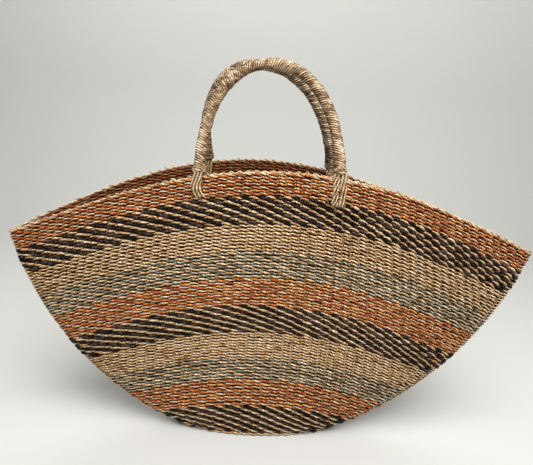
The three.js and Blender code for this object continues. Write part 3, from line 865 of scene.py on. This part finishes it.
def add_grip(name):
    line, up = arch(GRIPS[name])
    length = evenly(line, 2)[1]
    path = evenly(line, int(length / TURN_PITCH * STEPS_PER_TURN))[0]
    distance = np.linspace(0, length, len(path))
    side = unit(np.cross(up, [1.0, 0, 0]))
    other = np.cross(unit(np.gradient(path, axis=0)), side)
    angles = np.arange(GRIP_SIDES) / GRIP_SIDES * 2 * math.pi
    radius = wrap_radius(distance, length, angles)
    rings = (
        path[:, None]
        + side * (np.cos(angles)[None] * radius)[..., None]
        + other[:, None] * (np.sin(angles)[None] * radius)[..., None]
    )
    wrap = Tubes()
    wrap.add(rings, False, caps=True)
    piece = wrap.mesh(f"{name}_grip_turns", TWINES["grip"])
    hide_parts(f"{name}_grip_wrap", f"{name}_grip_core")
    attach(piece, f"{name}_grip")
    add_hitches(name, path, side, other, distance)


def add_hitches(name, path, side, other, distance):
    """Two turns of thicker cord that finish the wrapping at each foot."""
    hitches = Tubes()
    for start in (LEFT_HITCH, distance[-1] - RIGHT_HITCH):
        turn = np.linspace(0, HITCH_TURNS, HITCH_POINTS)
        where = start + turn * HITCH_PITCH
        spot = np.round(np.interp(where, distance, np.arange(len(distance)))).astype(int)
        radius = HITCH_RADIUS + HITCH_UNEVENNESS * np.sin(turn * HITCH_WAVE)
        angle = 2 * math.pi * turn
        away = side * np.cos(angle)[:, None] + other[spot] * np.sin(angle)[:, None]
        line = between(where, distance, path) + away * radius[:, None]
        length = np.linalg.norm(np.diff(line, axis=0), axis=1).sum()
        twisted(hitches, line, length, HITCH_DIAMETER, HITCH_LAY)
    piece = hitches.mesh(f"{name}_grip_hitches", TWINES["cord"])
    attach(piece, f"{name}_grip")


# Carrying cords: two plies twisted, down the outside of the wall, through it and up the inside
def cord_point(side, from_middle, level, depth):
    """A point at a depth under the wall's outer face, straight below the cord's top."""
    nearby = 1e-3
    half_length = wall_sizes(level)[0]
    along = np.array((from_middle + RIM_LEAN * (1 - level)) / half_length)
    here = wall_point(level, along, side)
    up = wall_point(level + nearby, along, side) - wall_point(level - nearby, along, side)
    sideways = wall_point(level, along + nearby, side) - wall_point(level, along - nearby, side)
    return here - unit(np.cross(sideways, up) * -side) * depth


def smooth_line(points):
    """A soft line through the points, each stretch a cubic that leaves along the line of its neighbours."""
    points = np.array(points)
    dense = []
    for i in range(len(points) - 1):
        here = points[i]
        there = points[i + 1]
        before = points[max(i - 1, 0)]
        after = points[min(i + 2, len(points) - 1)]
        for share in np.linspace(0, 1, ROUTE_STEPS, endpoint=False):
            linear_part = 2 * here + (there - before) * share
            square_part = (2 * before - 5 * here + 4 * there - after) * share**2
            cubic_part = (3 * here - before - 3 * there + after) * share**3
            dense.append(0.5 * (linear_part + square_part + cubic_part))
    return np.array(dense + [points[-1]])


def sideways_bend(foot_name, share):
    """How far a cord bends to the right on its way down the wall, from 0 at the grip to 1 at the hole.
    Those at the front grip's left foot swing out to the left and come back to the right."""
    if foot_name != "front_left":
        return 0
    return BEND_RIGHT * share**3 - BEND_LEFT * math.sin(math.pi * share)


def cord_line(foot_name, grip, end, drop, index, count):
    """The middle line of one cord: down the outside of the wall, through it and up the inside."""
    side = grip["side"]
    foot = foot_of(grip, end)
    lean = lean_of(grip)
    tilt = grip["skew"] / (GRIP_RISE * math.cos(lean))
    from_middle = end * grip["span"] / 2 + grip["shift"] + (index - (count - 1) / 2) * CORD_PITCH
    if foot_name == "front_right":
        from_middle += PAIR_GAP / 2 if index > 1 else -PAIR_GAP / 2
    offset = CORD_DIAMETER / 2 + CORD_CLEARANCE
    hole_level = 1 - drop / RIM_HEIGHT
    diagonal = CORD_BEND * (1 - math.sqrt(0.5))

    def leg(depth, towards, bend):
        top = cord_point(side, from_middle, 1.0, depth)
        lift = (top[1] - foot[1]) * side * math.tan(lean) - (top[0] - foot[0]) * tilt
        gap = CORD_CLEARANCE + CORD_DIAMETER / 2 * math.hypot(math.tan(lean), tilt)
        top[2] = foot[2] + foot_rise(grip) + lift - gap
        points = [top]
        for share in LEG_SHARES:
            place = from_middle + bend * sideways_bend(foot_name, share)
            points.append(cord_point(side, place, 1 - share * drop / RIM_HEIGHT, depth))
        last = from_middle + bend * sideways_bend(foot_name, 1)
        above_hole = hole_level + diagonal / RIM_HEIGHT
        points.append(cord_point(side, last, above_hole, depth + towards * diagonal))
        points.append(cord_point(side, last, hole_level, depth + towards * CORD_BEND))
        return points

    line = smooth_line(leg(-offset, 1, 1) + leg(WALL + offset, -1, 0)[::-1])
    return evenly(line, CORD_POINTS)


def add_cords():
    for grip_name, end, foot_name, count, drop in FEET:
        for index in range(count):
            path, length = cord_line(foot_name, GRIPS[grip_name], end, drop, index, count)
            loose = foot_name == "front_left" or index > 1
            plies = Tubes()
            if loose:
                twisted(plies, path, length, LOOSE_CORD, LOOSE_LAY)
            else:
                twisted(plies, path, length, TIGHT_CORD, TIGHT_LAY)
            piece = plies.mesh(f"{foot_name}_plies_{index + 1}", TWINES["cord"])
            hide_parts(f"{foot_name}_cord_{index + 1}")
            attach(piece, "body")


# Studio: pale floor that curves up into a backdrop, soft light
def paper():
    """Matt backdrop paper, a little paler up the wall than on the floor."""
    material, tree = empty_material("backdrop_paper")
    position = node(tree, "ShaderNodeNewGeometry").outputs["Position"]
    split = node(tree, "ShaderNodeSeparateXYZ", {"Vector": position})
    ramp = node(tree, "ShaderNodeValToRGB", {"Fac": split.outputs["Z"]})
    spread_colours(ramp, "#C8C8C3", "#D8D8D4")
    surface = node(tree, "ShaderNodeBsdfPrincipled", {"Base Color": ramp, "Roughness": 0.9})
    node(tree, "ShaderNodeOutputMaterial", {"Surface": surface})
    return material


def add_backdrop():
    profile = [(PAPER_FRONT, 0)]
    for k in range(PAPER_BEND_STEPS + 1):
        angle = math.pi / 2 * k / PAPER_BEND_STEPS
        y = PAPER_FLAT_END + PAPER_BEND * math.sin(angle)
        profile.append((y, PAPER_BEND * (1 - math.cos(angle))))
    profile.append((PAPER_FLAT_END + PAPER_BEND, PAPER_TOP))
    points = [(x, y, z) for x in (-PAPER_HALF_WIDTH, PAPER_HALF_WIDTH) for y, z in profile]
    count = len(profile)
    faces = [(k, k + count, k + count + 1, k + 1) for k in range(count - 1)]
    data = bpy.data.meshes.new("paper_backdrop")
    data.from_pydata(points, [], faces)
    data.polygons.foreach_set("use_smooth", np.ones(len(faces), dtype=bool))
    data.materials.append(paper())
    backdrop = bpy.data.objects.new("paper_backdrop", data)
    bpy.context.collection.objects.link(backdrop)


def add_light():
    world = bpy.data.worlds.new("room")
    world.use_nodes = True
    tree = world.node_tree
    tree.nodes.clear()
    seen = node(tree, "ShaderNodeLightPath").outputs["Is Camera Ray"]
    limits = {"To Min": ROOM_LIGHT, "To Max": ROOM_AS_SEEN}
    strength = node(tree, "ShaderNodeMapRange", {"Value": seen, **limits})
    room = node(tree, "ShaderNodeBackground", {"Color": linear("#F4F5F7"), "Strength": strength})
    node(tree, "ShaderNodeOutputWorld", {"Surface": room})
    bpy.context.scene.world = world
    for name, place, size, power in LAMPS:
        light = bpy.data.lights.new(name, "AREA")
        light.size = size
        light.energy = power
        lamp = bpy.data.objects.new(name, light)
        lamp.location = place
        aim = Vector(LAMP_TARGET) - Vector(place)
        lamp.rotation_euler = aim.to_track_quat("-Z", "Y").to_euler()
        bpy.context.collection.objects.link(lamp)
    bpy.context.scene.view_settings.view_transform = "Standard"


add_warps(weave())
add_rim()
add_base()
for grip_name in GRIPS:
    add_grip(grip_name)
add_cords()
add_camera()
add_backdrop()
add_light()
